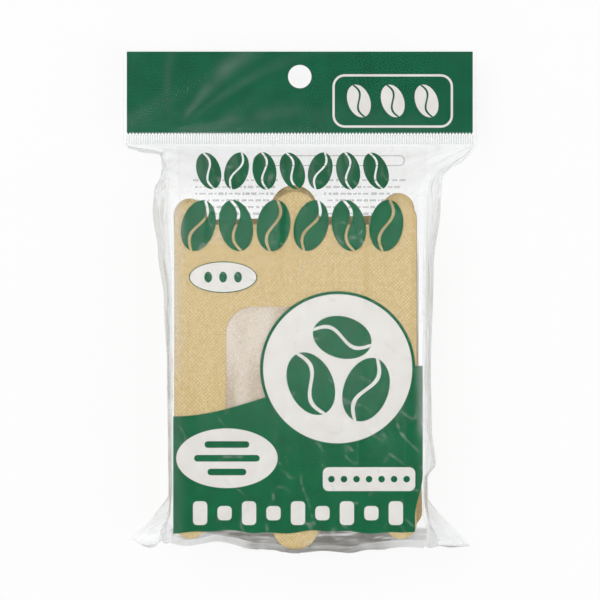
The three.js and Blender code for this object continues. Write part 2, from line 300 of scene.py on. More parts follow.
def side_pleats(my, side, seed):
    """Pleats that run up a side wall."""
    pleat = ridged(side * 2.4, my / 26, 5 + seed) + 0.5 * ridged(side * 6, my / 11, 8 + seed)
    return 0.55 * pleat * math.sin(math.pi * min(1, side * 1.05)), max(0, pleat - 0.7) * side


def shoulder_folds(mx, my, seed):
    """Folds up the slope under the header, and a star of folds out of each of its two corners."""
    swell = math.sin(math.pi * unit((my - slope_foot / MM) / ((band_low - slope_foot) / MM)))
    fan = ridged(mx / 5.5, my / 40, 13 + seed)
    out, under = bag_half / MM - abs(mx), band_low / MM - my
    reach = math.hypot(out, under)
    star = ridged(math.atan2(under, out) * 4.5, reach / 30, 17 + seed)
    near = ease(reach / 5) * (1 - ease((reach - 12) / 18))
    lift = 0.35 * swell * fan + 0.9 * star * near
    return lift, 0.6 * swell * max(0, fan - 0.75) + max(0, star - 0.6) * near


def ear_folds(mx, my, seed):
    """A star of folds out of each ear's tip."""
    foot = unit((foot_top / MM - 8 - my) / 10)
    out, over = ear_tip / MM - abs(mx), my - pack_low / MM - 2
    reach = math.hypot(out, over)
    star = ridged(math.atan2(over, abs(out) + 0.001) * 3.4, reach / 22, 23 + seed)
    return 0.8 * star * foot * ease(reach / 7), max(0, star - 0.5) * foot


def bottom_folds(mx, my, seed):
    """Small folds along the bottom fold."""
    low = unit((pack_low / MM + 7 - my) / 5)
    fold = ridged(mx / 13 + 0.4 * math.sin(my), my / 2.4, 31 + seed)
    return 0.45 * fold * low, 0.8 * max(0, fold - 0.6) * low


def crumple(x, y, side, face):
    """How far the film stands off its smooth shape at one point, outward, and how creased it is there; over
    the header that second value is painted sheen, and along the stack's edges it takes in a painted
    highlight.
    """
    seed = 3.7 * face + (11.3 if x > 0 else 0)
    mx, my = x / MM, y / MM
    if y > band_low:
        # Over the header the second value is painted sheen: slanting streaks of white haze.
        return header_wave(mx, my, seed) * MM, header_sheen(mx, my, face)
    lift, crease_and_sheen = wall_folds(mx, my, side, seed)
    if face > 0 and y < card_top:
        # Painted highlight along the stack's edges, added to the crease value.
        crease_and_sheen = max(crease_and_sheen, edge_haze(mx, my))
    folds = [bottom_folds(mx, my, seed)]
    if side > 0:
        folds += [side_pleats(my, side, seed), ear_folds(mx, my, seed)]
    if y > slope_foot:
        folds.append(shoulder_folds(mx, my, seed))
    return (lift + sum(fold[0] for fold in folds)) * MM, crease_and_sheen + sum(fold[1] for fold in folds)


# Film lies folded under the pack for this many millimetres from its end, and the end itself is this dark;
# the darkening is folded layers of film together with painted shade of the pack's shadowed inside and the
# shadow below it.
FOLDED_FOOT = 7
END_LAYERS_AND_SHADE = 0.5


def overlap_and_shade(x, y, z, face):
    """How far the film lies in folded layers and is darkened by painted shade, 0 to 1: in streaks under the
    pack's foot, most in the middle, and over its end.
    """
    mx, my, mz = x / MM, y / MM, z / MM
    under = (face < 0) * ease((pack_low / MM + FOLDED_FOOT - my) / 1.2) * (1 - ease((mz - 0.4) / 3))
    end = END_LAYERS_AND_SHADE * ease((pack_low / MM + 2.4 - my) / 1.4)
    middle = 1 - 0.5 * ease((abs(mx - 2) - 28) / 12)
    patch = 0.98 + 0.9 * noise.noise(Vector((mx / 9 + my / 2.4, my / 1.1, 50)))
    return max(under, end) * middle * max(unit(patch), 0.3)


# The film keeps its place at the seams and the bottom fold. It is free this many columns from a seam, and
# one part in this many of the rows from the fold.
FREE_AFTER_SEAM = 4
FREE_AFTER_FOLD = 60
FILM_OVER_CARD = 0.32 * MM


def crumpled(points, sides, face):
    """The wall's points moved along their normals, and each point's crease value, which carries painted
    sheen and painted highlight too.
    """
    across = np.gradient(points, axis=1)
    along = np.gradient(points, axis=0)
    normals = np.cross(along, across) * face
    normals /= np.maximum(np.linalg.norm(normals, axis=2, keepdims=True), 1e-12)
    rows, columns = sides.shape
    creases_and_sheen = np.zeros((rows, columns))
    moved = points.copy()
    for row in range(rows):
        near_fold = min(1, (1 - row / (rows - 1)) * FREE_AFTER_FOLD)
        for column in range(1, columns - 1):
            x, y, _ = points[row, column]
            lift, creases_and_sheen[row, column] = crumple(x, y, sides[row, column], face)
            near_seam = min(1, column / FREE_AFTER_SEAM, (columns - 1 - column) / FREE_AFTER_SEAM)
            moved[row, column] += normals[row, column] * lift * near_fold * near_seam
    if face > 0:
        x, y = points[..., 0], points[..., 1]
        over_stack = (x > front_left) & (x < front_right) & (y > card_low.y) & (y < card_top + MM)
        clear_of_card = np.maximum(moved[..., 2], card_high.z + FILM_OVER_CARD)
        moved[..., 2] = np.where(over_stack, clear_of_card, moved[..., 2])
    else:
        moved[..., 2] = np.maximum(moved[..., 2], 0)
    return moved, creases_and_sheen


def in_scene(name, data):
    made = bpy.data.objects.new(name, data)
    bpy.context.scene.collection.objects.link(made)
    return made


def evaluated_mesh(holder):
    depsgraph = bpy.context.evaluated_depsgraph_get()
    return bpy.data.meshes.new_from_object(holder.evaluated_get(depsgraph))


def as_mesh(name, shape):
    mesh = bpy.data.meshes.new(name)
    shape.to_mesh(mesh)
    shape.free()
    return mesh


def new_piece(name, mesh, material, smooth=True):
    piece = in_scene(name, mesh)
    if material is not None:
        mesh.materials.clear()
        mesh.materials.append(material)
    for polygon in mesh.polygons:
        polygon.use_smooth = smooth
    return piece


def build_film():
    """The bag as one closed skin: two walls that share side seams and bottom fold, open at the hang hole."""
    walls = {}
    for face in (1, -1):
        points, sides = film_grid(face)
        walls[face] = crumpled(points, sides, face)
    rows, columns = walls[1][1].shape
    mesh = bmesh.new()
    crease_and_sheen_layer = mesh.verts.layers.float.new("crease_and_sheen")
    overlap_and_shade_layer = mesh.verts.layers.float.new("layers")
    grid = {}
    for face, (points, creases_and_sheen) in walls.items():
        for row in range(rows):
            for column in range(columns):
                shared = column in (0, columns - 1) or row == rows - 1
                if shared and face < 0:
                    grid[face, row, column] = grid[1, row, column]
                    continue
                vertex = mesh.verts.new(points[row, column])
                vertex[crease_and_sheen_layer] = creases_and_sheen[row, column]
                vertex[overlap_and_shade_layer] = overlap_and_shade(*points[row, column], face)
                grid[face, row, column] = vertex
    radius = HANG_HOLE / 2

    def inside(vertex):
        return (vertex.co.xy - hang_hole.xy).length < radius and vertex.co.y > header_low

    for face in (1, -1):
        for row in range(rows - 1):
            for column in range(columns - 1):
                corners = [grid[face, row, column], grid[face, row + 1, column],
                           grid[face, row + 1, column + 1], grid[face, row, column + 1]]
                corners = list(dict.fromkeys(corners))
                if len(corners) < 3 or sum(inside(vertex) for vertex in corners) > 1:
                    continue
                mesh.faces.new(corners if face > 0 else corners[::-1])
    for column in range(columns - 1):
        mouth = [grid[1, 0, column], grid[1, 0, column + 1], grid[-1, 0, column + 1], grid[-1, 0, column]]
        mesh.faces.new(list(dict.fromkeys(mouth)))
    bmesh.ops.delete(mesh, geom=[v for v in mesh.verts if not v.link_faces], context="VERTS")
    rim = [edge for edge in mesh.edges if edge.is_boundary]
    for vertex in {vertex for edge in rim for vertex in edge.verts}:
        arm = vertex.co.xy - hang_hole.xy
        vertex.co.xy = hang_hole.xy + arm.normalized() * radius
    bmesh.ops.bridge_loops(mesh, edges=rim)
    for edge in mesh.edges:
        if edge.calc_face_angle(0) > math.radians(70):
            edge.smooth = False
    bmesh.ops.recalc_face_normals(mesh, faces=mesh.faces)
    return as_mesh("bag_film_skin", mesh)


# Materials


class NodeTree:
    """Short ways to add a node to a tree and to join two."""

    def __init__(self, tree):
        self.tree = tree

    def add(self, kind, inputs=None, **settings):
        node = self.tree.nodes.new(kind)
        for key, value in settings.items():
            setattr(node, key, value)
        for key, value in (inputs or {}).items():
            self.give(node.inputs[key], value)
        return node

    def give(self, socket, value):
        if isinstance(value, bpy.types.NodeSocket):
            self.tree.links.new(value, socket)
        else:
            socket.default_value = value

    def math(self, operation, *values):
        node = self.add("ShaderNodeMath", operation=operation)
        for socket, value in zip(node.inputs, values):
            self.give(socket, value)
        return node.outputs[0]

    def seen_white(self):
        """One where the camera, a reflection or glass looks, and zero for other rays."""
        path = self.add("ShaderNodeLightPath").outputs
        seen = self.math("MAXIMUM", path["Is Camera Ray"], path["Is Glossy Ray"])
        return self.math("MAXIMUM", seen, path["Is Transmission Ray"])


class Look(NodeTree):
    """A material's node tree."""

    def __init__(self, name):
        self.material = bpy.data.materials.new(name)
        self.material.use_nodes = True
        super().__init__(self.material.node_tree)
        self.tree.nodes.clear()

    def place(self, scale=(1, 1, 1), turn=0.0):
        coordinates = self.add("ShaderNodeTexCoord").outputs["Object"]
        return self.add("ShaderNodeMapping", {
            "Vector": coordinates, "Rotation": (0, 0, turn), "Scale": scale}).outputs["Vector"]

    def noise(self, vector, scale, detail=3.0, roughness=0.5):
        return self.add("ShaderNodeTexNoise", {
            "Vector": vector, "Scale": scale, "Detail": detail, "Roughness": roughness}).outputs["Fac"]

    def ramp(self, factor, *stops):
        """Colours along a value, as (value, colour) pairs."""
        node = self.add("ShaderNodeValToRGB", {"Fac": factor})
        while len(node.color_ramp.elements) < len(stops):
            node.color_ramp.elements.new(0.5)
        for element, (position, colour) in zip(node.color_ramp.elements, stops):
            element.position = position
            element.color = (*colour, 1)
        return node.outputs["Color"]

    def blend(self, share, low, high):
        values = {"Factor": share, 6: low, 7: (*high, 1)}
        return self.add("ShaderNodeMix", values, data_type="RGBA").outputs[2]

    def bump(self, height, strength, distance):
        return self.add("ShaderNodeBump", {
            "Height": height, "Strength": strength, "Distance": distance}).outputs["Normal"]

    def mix(self, share, first, second):
        return self.add("ShaderNodeMixShader", {"Fac": share, 1: first.outputs[0], 2: second.outputs[0]})

    def matt(self, colour, roughness, normal, gleam):
        return self.add("ShaderNodeBsdfPrincipled", {
            "Base Color": colour, "Roughness": roughness, "Normal": normal, "Specular IOR Level": gleam})

    def finish(self, shader):
        self.add("ShaderNodeOutputMaterial", {"Surface": shader.outputs[0]})
        return self.material


def linear(red, green, blue):
    """A screen colour of 0 to 255 as Blender's linear values."""
    shares = (value / 255 for value in (red, green, blue))
    return tuple(share / 12.92 if share <= 0.04 else ((share + 0.055) / 1.055) ** 2.4 for share in shares)


CREASE_AND_SHEEN_HAZE = 0.45
EDGE_HAZE = 0.14
HAZE_WHITE = (0.88, 0.89, 0.9, 1)
STRAIGHT_ON = (0.985, 0.99, 0.99)
# Dark grey for film folded in layers at the foot, with painted shade.
FOLDED_LAYERS_AND_SHADE = (0.2, 0.19, 0.172)
FILM_IOR = 1.2
FILM_ROUGHNESS = 0.12
MOST_SHINE = 0.3


def clear_film(name, milk, edge_on):
    """Thin clear film: almost nothing straight on, darker edge on, milky in its creases and where sheen and
    highlight are painted in as white haze, darker where it lies folded in layers at the foot with painted
    shade, and glossy.
    """
    look = Look(name)
    ripple = look.noise(look.place((1, 0.35, 1)), 300, 2)
    normal = look.bump(ripple, 0.1, 0.15 * MM)
    # The crease value holds real creases plus painted sheen and painted highlight, all shown as white haze.
    crease_and_sheen = look.add("ShaderNodeAttribute", attribute_name="crease_and_sheen").outputs["Fac"]
    layers = look.add("ShaderNodeAttribute", attribute_name="layers").outputs["Fac"]
    facing = look.add("ShaderNodeLayerWeight", {"Blend": 0.4, "Normal": normal}).outputs["Facing"]
    edge_haze = look.math("MULTIPLY_ADD", look.math("MULTIPLY", facing, facing), EDGE_HAZE, milk)
    haze = look.math("MULTIPLY_ADD", crease_and_sheen, CREASE_AND_SHEEN_HAZE, edge_haze)
    tint = look.ramp(facing, (0.4, STRAIGHT_ON), (0.95, edge_on))
    # Darker where the film lies folded at the foot: the layers of film, and painted shade of the pack's
    # inside and the shadow below.
    clear = look.add("ShaderNodeBsdfTransparent", {"Color": look.blend(layers, tint, FOLDED_LAYERS_AND_SHADE)})
    white = look.add("ShaderNodeBsdfDiffuse", {"Color": HAZE_WHITE, "Normal": normal})
    gloss = look.add("ShaderNodeBsdfGlossy", {
        "Color": (1, 1, 1, 1), "Roughness": FILM_ROUGHNESS, "Normal": normal})
    mirror = look.add("ShaderNodeFresnel", {"IOR": FILM_IOR, "Normal": normal}).outputs[0]
    shine = look.math("MINIMUM", mirror, MOST_SHINE)
    return look.finish(look.mix(shine, look.mix(haze, clear, white), gloss))


def ink(name, colour, deeper):
    """Printed ink: nearly even, with faint mottling."""
    look = Look(name)
    tone = look.ramp(look.noise(look.place(), 160, 4, 0.6), (0.3, deeper), (0.7, colour))
    grain = look.bump(look.noise(look.place(), 1500, 2), 0.08, 0.05 * MM)
    return look.finish(look.matt(tone, 0.5, grain, 0.02))


def kraft_card():
    """Brown board: short fibres, dark flecks, soft clouds, and a fine embossed weave with darker pits."""
    look = Look("kraft_card")
    fibres = look.noise(look.place((1, 0.6, 1)), 1100, 5, 0.75)
    clouds = look.noise(look.place(), 620, 3, 0.6)
    mottle = look.math("MULTIPLY_ADD", clouds, 0.25, look.math("MULTIPLY", fibres, 0.75))
    dark, middle, pale = linear(203, 176, 123), linear(214, 191, 140), linear(223, 204, 157)
    tone = look.ramp(mottle, (0.37, dark), (0.5, middle), (0.63, pale))
    flecks = look.add("ShaderNodeTexVoronoi", {"Vector": look.place((1, 0.5, 1)), "Scale": 620})
    specks = look.ramp(flecks.outputs["Distance"], (0.06, (1, 1, 1)), (0.16, (0, 0, 0)))
    bands = [look.add("ShaderNodeTexWave", {"Vector": look.place(turn=math.radians(turn)), "Scale": 345})
             for turn in (45, -45)]
    weave = look.math("MULTIPLY", bands[0].outputs["Fac"], bands[1].outputs["Fac"])
    pits = look.math("MULTIPLY_ADD", weave, 0.5, look.math("MULTIPLY", specks, 0.2))
    colour = look.blend(pits, tone, linear(168, 134, 84))
    normal = look.bump(look.math("MULTIPLY_ADD", weave, 0.7, fibres), 0.4, 0.12 * MM)
    return look.finish(look.matt(colour, 0.82, normal, 0.25))


def filter_cloth():
    """White non-woven cloth: tangled fibres, and soft folds along which the colour turns darker and warmer,
    which is painted shade of the folds together with the warm card showing faintly through.
    """
    look = Look("filter_cloth")
    tangle = look.noise(look.place(), 1500, 5, 0.7)
    folds = look.noise(look.place((1, 0.3, 1), math.radians(12)), 90, 2)
    # Colour darker and warmer along the folds: painted shade, and the card showing through.
    mottle = look.math("MULTIPLY_ADD", folds, 0.6, look.math("MULTIPLY", tangle, 0.4))
    warm, middle, pale = linear(184, 165, 144), linear(209, 193, 174), linear(229, 218, 204)
    tone = look.ramp(mottle, (0.4, warm), (0.5, middle), (0.6, pale))
    normal = look.bump(look.math("MULTIPLY_ADD", folds, 4.0, tangle), 0.8, 0.5 * MM)
    return look.finish(look.matt(tone, 0.9, normal, 0.2))


def back_ink(name, colour, deeper, thin_cover, full_cover):
    """Ink on the back wall, thinner towards the header, where the photograph shows it lit from behind."""
    look = Look(name)
    tone = look.ramp(look.noise(look.place(), 160, 3), (0.3, deeper), (0.7, colour))
    place = look.add("ShaderNodeTexCoord").outputs["Object"]
    height = look.add("ShaderNodeSeparateXYZ", {0: place}).outputs[1]
    cover = look.add("ShaderNodeMapRange", {
        "Value": height, "From Min": 10 * MM, "From Max": 22 * MM,
        "To Min": full_cover, "To Max": thin_cover})
    solid = look.add("ShaderNodeBsdfDiffuse", {"Color": tone})
    clear = look.add("ShaderNodeBsdfTransparent", {"Color": (1, 1, 1, 1)})
    return look.finish(look.mix(cover.outputs[0], clear, solid))


FILM_LOOK = clear_film("clear_film", 0.002, (0.88, 0.895, 0.895))
PRESSED_FILM_LOOK = clear_film("pressed_film", 0.05, (0.955, 0.965, 0.965))
GREEN_INK = ink("green_ink", linear(12, 106, 66), linear(8, 92, 56))
HEADER_INK = ink("header_ink", linear(8, 96, 66), linear(5, 86, 58))
WHITE_INK = ink("white_ink", linear(231, 228, 224), linear(222, 218, 213))
THIN_WHITE_INK = back_ink("thin_white_ink", linear(246, 246, 245), linear(238, 238, 236), 0.1, 0.8)
FAINT_GREY_INK = back_ink("faint_grey_ink", linear(150, 154, 154), linear(130, 134, 134), 0.4, 0.8)
CARD_LOOK = kraft_card()
CLOTH_LOOK = filter_cloth()


# Flat outlines, in millimetres in the pack's own frame


def arc(centre_x, centre_y, radius, start, end, steps):
    angles = np.linspace(math.radians(start), math.radians(end), steps + 1)
    return [(centre_x + radius * math.cos(a), centre_y + radius * math.sin(a)) for a in angles]


def ellipse(centre_x, centre_y, width, height, steps=64):
    angles = np.linspace(0, 2 * math.pi, steps, endpoint=False)
    return [(centre_x + width / 2 * math.cos(a), centre_y + height / 2 * math.sin(a)) for a in angles]


def rounded_rectangle(centre_x, centre_y, width, height, corner, steps=8):
    half_x, half_y = width / 2 - corner, height / 2 - corner
    points = []
    for turn, (sign_x, sign_y) in enumerate([(1, 1), (-1, 1), (-1, -1), (1, -1)]):
        x, y = centre_x + sign_x * half_x, centre_y + sign_y * half_y
        points += arc(x, y, corner, 90 * turn, 90 * turn + 90, steps)
    return points


SAME_POINT = 1e-4
ON_THE_CUT = 1e-5


def fill(name, loops):
    """A flat mesh inside closed loops, where a loop inside another is a hole."""
    curve = bpy.data.curves.new(name, "CURVE")
    curve.dimensions = "2D"
    curve.fill_mode = "BOTH"
    for loop in loops:
        spline = curve.splines.new("POLY")
        spline.points.add(len(loop) - 1)
        for point, (x, y) in zip(spline.points, loop):
            point.co = (x, y, 0, 1)
        spline.use_cyclic_u = True
    holder = in_scene(name, curve)
    mesh = evaluated_mesh(holder)
    bpy.data.objects.remove(holder)
    flat = bmesh.new()
    flat.from_mesh(mesh)
    bpy.data.meshes.remove(mesh)
    bmesh.ops.remove_doubles(flat, verts=flat.verts, dist=SAME_POINT)
    return flat


def refine(flat, step):
    """Cuts a flat mesh by a square grid, so that it can follow a bent wall."""
    for axis in (0, 1):
        places = [v.co[axis] for v in flat.verts]
        normal = Vector((axis == 0, axis == 1, 0))
        for place in np.arange(math.floor(min(places) / step) * step + step, max(places), step):
            bmesh.ops.bisect_plane(
                flat, geom=flat.verts[:] + flat.edges[:] + flat.faces[:],
                plane_co=normal * place, plane_no=normal, dist=ON_THE_CUT)
    return flat


FILM_SKIN = build_film()
FILM_TREE = BVHTree.FromPolygons(
    [v.co.copy() for v in FILM_SKIN.vertices], [tuple(p.vertices) for p in FILM_SKIN.polygons])


def lay_on_wall(name, loops, material, depth, face=1, step=0.8):
    """Ink in the shape of loops, depth millimetres under the skin of the front (1) or back (-1) wall.

    Inks that overlap lie at depths of their own."""
    flat = refine(fill(name, loops), step)
    for vertex in flat.verts:
        x, y = vertex.co.x * MM, vertex.co.y * MM
        start = Vector((x, y, mid_depth + face * 0.2))
        hit = FILM_TREE.ray_cast(start, Vector((0, 0, -face)))
        height = hit[0].z if hit[0] is not None else mid_depth
        vertex.co = (x, y, height - face * depth * MM)
    for polygon in flat.faces:
        polygon.normal_update()
    if sum(polygon.normal.z for polygon in flat.faces) * face < 0:
        bmesh.ops.reverse_faces(flat, faces=flat.faces)
    return new_piece(name, as_mesh(name, flat), material)


# The front print

print_left, print_right, print_low = ink_low.x / MM, ink_high.x / MM, ink_low.y / MM
FIELD_FOOT_ROOM = 2.3
FIELD_LEFT_HEIGHT = 41
FIELD_RIGHT_HEIGHT = 58
DISC_RADIUS = 26
DISC_RING = 1
DISC_RIGHT_ROOM = 2.5
DISC_FOOT_HEIGHT = 31
disc_x = print_right - DISC_RIGHT_ROOM - DISC_RADIUS
disc_y = print_low + DISC_FOOT_HEIGHT + DISC_RADIUS
OVAL_WIDTH, OVAL_HEIGHT, OVAL_FOOT_HEIGHT = 34, 20, 17
oval_x = print_left + 1 + OVAL_WIDTH / 2
oval_y = print_low + OVAL_FOOT_HEIGHT + OVAL_HEIGHT / 2
LABEL_WIDTH, LABEL_HEIGHT, LABEL_CORNER, LABEL_FOOT_HEIGHT = 31, 8, 2, 16
label_x = print_right - DISC_RIGHT_ROOM - LABEL_WIDTH / 2
label_y = print_low + LABEL_FOOT_HEIGHT + LABEL_HEIGHT / 2
BAR_COUNT, BAR_WIDTH, BAR_HEIGHT, BAR_PITCH, BAR_FOOT_HEIGHT = 9, 4.8, 8, 8.2, 4.6
FIELD_TUCK = 2.6

# Beans on the disc: (across and up from its middle, width, height, tilt)
DISC_BEANS = ((-9, -5, 15, 22, 24), (9.5, -7, 15, 22, -20), (1.5, 10.5, 14, 20, 75))

# Bars in the oval: (up from its middle, width). The label has dots of the same height as these bars.
OVAL_BARS = ((4.6, 15), (0, 22), (-4.6, 13))
MARK_HEIGHT, DOT_PITCH, DOTS_EACH_SIDE = 2.2, 4.2, 3


def bezier(points, steps=40):
    run = []
    for t in np.linspace(0, 1, steps + 1):
        shares = ((1 - t) ** 3, 3 * t * (1 - t) ** 2, 3 * t * t * (1 - t), t ** 3)
        run.append([sum(share * point[axis] for share, point in zip(shares, points)) for axis in (0, 1)])
    return run


def field_outline():
    width = print_right - print_left
    field_low = print_low + FIELD_FOOT_ROOM
    left_top, right_top = print_low + FIELD_LEFT_HEIGHT, print_low + FIELD_RIGHT_HEIGHT
    top = bezier([(print_right, right_top), (print_right - 0.45 * width, right_top),
                  (print_left + 0.3 * width, left_top), (print_left, left_top)])
    right = [(print_right - FIELD_TUCK * ease((field_low + 19 - y) / 14), y)
             for y in np.linspace(field_low, field_low + 20, 12)]
    foot = [(x, field_low + 0.45 * math.sin(x / 5.5) + 0.25 * math.sin(x / 2.1))
            for x in np.linspace(print_left, print_right - FIELD_TUCK, 40)]
    return [*foot[:-1], *right, *top]


def bar_outlines():
    """White blocks along the foot of the print, every second one shorter."""
    middle = (print_left + print_right) / 2
    y = print_low + BAR_FOOT_HEIGHT + BAR_HEIGHT / 2
    bars = []
    for bar in range(BAR_COUNT):
        x = middle + (bar - (BAR_COUNT - 1) / 2) * BAR_PITCH
        height = BAR_HEIGHT * 0.6 if bar % 2 else BAR_HEIGHT
        bars.append(rounded_rectangle(x, y, BAR_WIDTH, height, BAR_WIDTH * 0.3))
    return bars


# A bean's split as shares of its width: how far it sways, and how wide it is
BEAN_SWAY = 0.16
BEAN_SPLIT = 0.09


def turned(points, centre_x, centre_y, tilt):
    """Points about zero, turned by a tilt in degrees and moved to a centre."""
    across, up = math.cos(math.radians(tilt)), math.sin(math.radians(tilt))
    return [(centre_x + x * across - y * up, centre_y + x * up + y * across) for x, y in points]


def bean(centre_x, centre_y, width, height, tilt):
    """A coffee bean: two rounded halves with an S-shaped split between them."""
    halves = []
    for side in (1, -1):
        rim = [(side * math.cos(a) * width / 2, math.sin(a) * height / 2)
               for a in np.linspace(-math.pi / 2 * 0.97, math.pi / 2 * 0.97, 26)]
        split = [(BEAN_SWAY * width * math.sin(math.pi * t) + side * BEAN_SPLIT * width / 2, t * height / 2)
                 for t in np.linspace(0.95, -0.95, 18)]
        halves.append(turned(rim + split, centre_x, centre_y, tilt))
    return halves


def build_front_print():
    field = lay_on_wall("green_field", [field_outline()], GREEN_INK, 0.17)
    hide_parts("front_print_green")
    white = lay_on_wall("white_shapes", [
        ellipse(disc_x, disc_y, 2 * DISC_RADIUS, 2 * DISC_RADIUS, steps=120),
        ellipse(oval_x, oval_y, OVAL_WIDTH, OVAL_HEIGHT, steps=72),
        rounded_rectangle(label_x, label_y, LABEL_WIDTH, LABEL_HEIGHT, LABEL_CORNER),
        *bar_outlines(),
    ], WHITE_INK, 0.12)
    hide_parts("front_print_white")
    drawn = [ellipse(disc_x, disc_y, 2 * radius, 2 * radius, steps=120)
             for radius in (DISC_RADIUS, DISC_RADIUS - DISC_RING)]
    for across, up, *shape in DISC_BEANS:
        drawn += bean(disc_x + across, disc_y + up, *shape)
    details = lay_on_wall("green_details", drawn, GREEN_INK, 0.07)
    written = [rounded_rectangle(oval_x, oval_y + up, width, MARK_HEIGHT, MARK_HEIGHT / 2, 5)
               for up, width in OVAL_BARS]
    written += [ellipse(label_x + step * DOT_PITCH, label_y, MARK_HEIGHT, MARK_HEIGHT, steps=20)
                for step in range(-DOTS_EACH_SIDE, DOTS_EACH_SIDE + 1)]
    marks = lay_on_wall("green_marks", written, GREEN_INK, 0.07)
    return [(field, "green_ink"), (white, "white_ink"), (details, "green_ink"), (marks, "green_ink")]


# The two rows of beans: (beans, pitch, up the pack, width, height, tilts in turn)
ROW_MIDDLE = -2.5
UPPER_ROW = (7, 9.4, 43.6, 8.0, 13.2, (18, -14, 9))
LOWER_ROW = (6, 12.6, 25.0, 11.2, 17.4, (-16, 12, -8))
BUBBLE_X, BUBBLE_Y, BUBBLE_WIDTH, BUBBLE_HEIGHT, BUBBLE_RIM = -25.7, 7.7, 22.8, 10.5, 0.5


def bean_row(count, pitch, y, width, height, tilts):
    halves = []
    for step in range(count):
        x = ROW_MIDDLE + (step - (count - 1) / 2) * pitch
        halves += bean(x, y, width, height, tilts[step % len(tilts)])
    return halves


def build_title_rows():
    upper = lay_on_wall("upper_bean_row", bean_row(*UPPER_ROW), GREEN_INK, 0.1)
    lower = lay_on_wall("lower_bean_row", bean_row(*LOWER_ROW), GREEN_INK, 0.1)
    outer = ellipse(BUBBLE_X, BUBBLE_Y, BUBBLE_WIDTH, BUBBLE_HEIGHT)
    inner = ellipse(BUBBLE_X, BUBBLE_Y, BUBBLE_WIDTH - BUBBLE_RIM, BUBBLE_HEIGHT - BUBBLE_RIM)
    dots = [ellipse(BUBBLE_X + step * 5, BUBBLE_Y, 2.6, 3.6, steps=24) for step in (-1, 0, 1)]
    bubble = lay_on_wall("small_bubble", [outer], WHITE_INK, 0.15)
    marks = lay_on_wall("small_bubble_marks", [outer, inner, *dots], GREEN_INK, 0.08)
    return [(row, "green_ink") for row in (upper, lower, marks)] + [(bubble, "white_ink")]


# The back print: a white panel that shows through above the stack, two columns of marks, and plain bars

BACK_LEFT, BACK_RIGHT, BACK_LOW, BACK_TOP_RIGHT = -42, 41, -70, 43.5
BACK_WIDENS = (38, 43)
BACK_STEP = 1.2
COLUMNS = ((BACK_LEFT + 4, -6), (8, BACK_RIGHT - 4))
LINES, LINE_PITCH, LINES_DROP = 13, 2.3, 11
TITLE_X, TITLE_DROP, TITLE_OUTLINES = 10, 4.6, ((52, 3.6), (51, 2.8))

# Frames and blocks: (up the pack, width, height, corner), and bars: (up the pack, width)
BACK_X, BACK_BLOCKS = 0.7, ((-20, 70, 24, 4), (-20, 68, 22, 3.2), (-50, 70, 9, 2))
BACK_BARS, BACK_BAR_HEIGHT = ((18, 62), (13, 54), (8, 60), (3, 44)), 2.2


def mark_lines(top):
    """Small marks that stand for text, in lines down the columns."""
    chance = random.Random(5)
    marks = []
    for left, right in COLUMNS:
        for line in range(LINES):
            x, y = left + 2 * chance.random(), top - LINES_DROP - line * LINE_PITCH
            while x < right - 2.5:
                width = chance.uniform(0.6, 2.4)
                marks.append(rounded_rectangle(x + width / 2, y, width, chance.uniform(0.4, 0.9), 0.15, 2))
                x += width + chance.uniform(0.35, 0.9)
    return marks


def build_back_print():
    top = band_low / MM - 0.6
    outline = [(BACK_LEFT, BACK_LOW), (BACK_RIGHT, BACK_LOW), (BACK_RIGHT, BACK_WIDENS[0]),
               (BACK_TOP_RIGHT, BACK_WIDENS[1]), (BACK_TOP_RIGHT, top), (BACK_LEFT, top)]
    panel = lay_on_wall("back_panel", [outline], THIN_WHITE_INK, 0.08, -1, BACK_STEP)
    title = [rounded_rectangle(TITLE_X, top - TITLE_DROP, width, height, height / 2)
             for width, height in TITLE_OUTLINES]
    marks = lay_on_wall("back_marks", title + mark_lines(top), FAINT_GREY_INK, 0.14, -1, BACK_STEP)
    drawn = [rounded_rectangle(BACK_X, *block) for block in BACK_BLOCKS]
    drawn += [rounded_rectangle(0, y, width, BACK_BAR_HEIGHT, BACK_BAR_HEIGHT / 2) for y, width in BACK_BARS]
    bars = lay_on_wall("back_bars", drawn, GREEN_INK, 0.02, -1, BACK_STEP)
    return [(panel, "white_ink"), (marks, "white_ink"), (bars, "green_ink")]


# The header's badge: a white outline with beans in it

BADGE_X, BADGE_Y, BADGE_WIDTH, BADGE_HEIGHT, BADGE_CORNER, BADGE_LINE = 31.6, 67.7, 41, 18.2, 4.2, 0.8
BADGE_BEAN_PITCH, BADGE_BEAN_WIDTH, BADGE_BEAN_HEIGHT, BADGE_BEAN_TILT = 11.5, 7.6, 11.5, 20


def build_badge():
    drawn = [rounded_rectangle(BADGE_X, BADGE_Y, BADGE_WIDTH - 2 * line, BADGE_HEIGHT - 2 * line,
                               BADGE_CORNER - line) for line in (0, BADGE_LINE)]
    for step in (-1, 0, 1):
        x = BADGE_X + step * BADGE_BEAN_PITCH
        drawn += bean(x, BADGE_Y, BADGE_BEAN_WIDTH, BADGE_BEAN_HEIGHT, BADGE_BEAN_TILT)
    return [(lay_on_wall("header_badge", drawn, WHITE_INK, 0.12), "white_ink")]


# One dripper, in millimetres about its own middle, with its underside at zero

